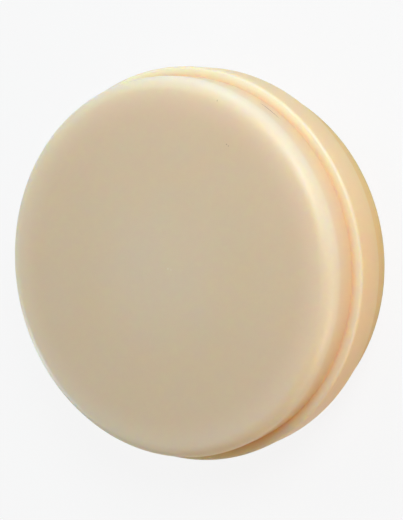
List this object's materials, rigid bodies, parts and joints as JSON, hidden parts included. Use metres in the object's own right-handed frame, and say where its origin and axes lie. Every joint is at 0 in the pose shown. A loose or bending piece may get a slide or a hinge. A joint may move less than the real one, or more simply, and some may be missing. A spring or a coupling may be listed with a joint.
{
  "type": "dental milling disc",
  "caption": "Solid round puck of tooth-coloured resin with a wider collar round its middle and a soft rounded edge on its upper face.",
  "frame": {"origin": "middle of the lower face, which the disc rests on", "axes": "+Z along the disc's axis, from the lower face to the upper face with the broad rounded edge"},
  "size_m": [0.0984, 0.0984, 0.03],
  "materials": {
    "resin": "satin, semi-translucent, tooth-coloured cream"
  },
  "bodies": {
    "root": {"milling_disc": "resin"}
  },
  "joints": []
}
